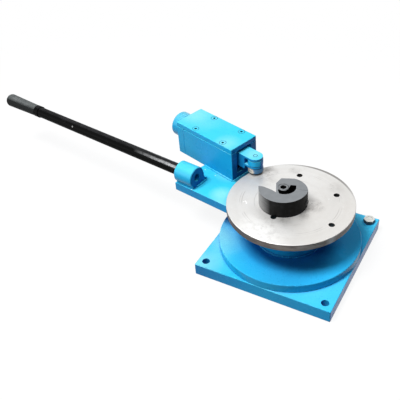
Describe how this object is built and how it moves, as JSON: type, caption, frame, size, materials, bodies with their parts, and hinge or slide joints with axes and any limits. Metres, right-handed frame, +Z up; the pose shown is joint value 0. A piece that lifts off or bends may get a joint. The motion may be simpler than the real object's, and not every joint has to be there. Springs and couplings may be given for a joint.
{
  "type": "scroll bender",
  "caption": "Bench scroll bender: round faceplate with a scroll die on a square base, and a hand lever arm that swings a sprung roller ram round the die.",
  "frame": {"origin": "on the spindle's axis, at the underside of the base plate", "axes": "Z is up along the spindle; X runs along the base's front edge, away from the lever's side; Y runs towards the back"},
  "size_m": [0.8473, 0.2631, 0.1651],
  "materials": {
    "paint": "bright blue gloss enamel, brushed on",
    "bright_steel": "bright turned steel",
    "steel": "plain machined steel",
    "zinc": "zinc plated",
    "die_steel": "dark hardened steel",
    "bronze": "plain bearing bronze",
    "black_enamel": "glossy black enamel",
    "grip": "dark grey moulded grip"
  },
  "bodies": {
    "base": {"base_plate": "paint", "riser_plate": "paint", "pedestal": "paint", "spindle": "steel", "mounting_bolt": "zinc", "thrust_washer": "bronze", "thrust_ring": "steel", "faceplate": "bright_steel", "faceplate_screws": "zinc", "faceplate_dowels": "steel", "scroll_die": "die_steel", "die_screw": "die_steel", "die_tie_screw": "die_steel"},
    "arm": {"arm_plate": "paint", "arm_bush": "bronze", "box_near_wall": "paint", "box_far_wall": "paint", "box_floor": "paint", "wear_strip": "bronze", "box_lid": "paint", "lid_screws": "paint", "rear_plate": "paint", "rear_plate_screws": "zinc", "screw_collar": "paint", "lever_socket": "paint", "lever_rod": "black_enamel", "grip_ferrule": "black_enamel", "lever_grip": "grip"},
    "feed": {"feed_knob": "paint", "feed_screw": "steel"},
    "seat": {"spring_seat": "bronze"},
    "ram": {"ram": "paint", "ram_end_cap": "steel", "ram_cap_screws": "zinc", "pressure_spring": "steel", "roller_pin": "paint", "roller_spacer": "steel"},
    "upper": {"upper_roller": "paint"},
    "lower": {"lower_roller": "bright_steel"}
  },
  "joints": [
    {"name": "arm_swing", "type": "hinge", "parent": "base", "child": "arm", "pos_m": [0, 0, 0.0885], "axis": [0, 0, 1], "continuous": true},
    {"name": "feed_slide", "type": "slide", "parent": "arm", "child": "seat", "axis": [0.9542, -0.299, 0], "range_m": [0, 0.056]},
    {"name": "feed_screw_turn", "type": "hinge", "parent": "arm", "child": "feed", "pos_m": [-0.26071, 0.10706, 0.1358], "axis": [0.9542, -0.299, 0], "range_deg": [-6720, 0]},
    {"name": "ram_spring", "type": "slide", "parent": "seat", "child": "ram", "axis": [0.9542, -0.299, 0], "range_m": [-0.018, 0], "stiffness_N_per_m": 8000, "springref_m": 0.01, "deforming": ["pressure_spring"]},
    {"name": "upper_roller_spin", "type": "hinge", "parent": "ram", "child": "upper", "pos_m": [-0.09153, 0.05404, 0.1395], "axis": [0, 0, 1], "continuous": true},
    {"name": "lower_roller_spin", "type": "hinge", "parent": "ram", "child": "lower", "pos_m": [-0.09153, 0.05404, 0.1226], "axis": [0, 0, 1], "continuous": true}
  ],
  "couplings": [
    {"joint": "feed_screw_turn", "follows": "feed_slide", "rad_per_m": -2094.4}
  ]
}
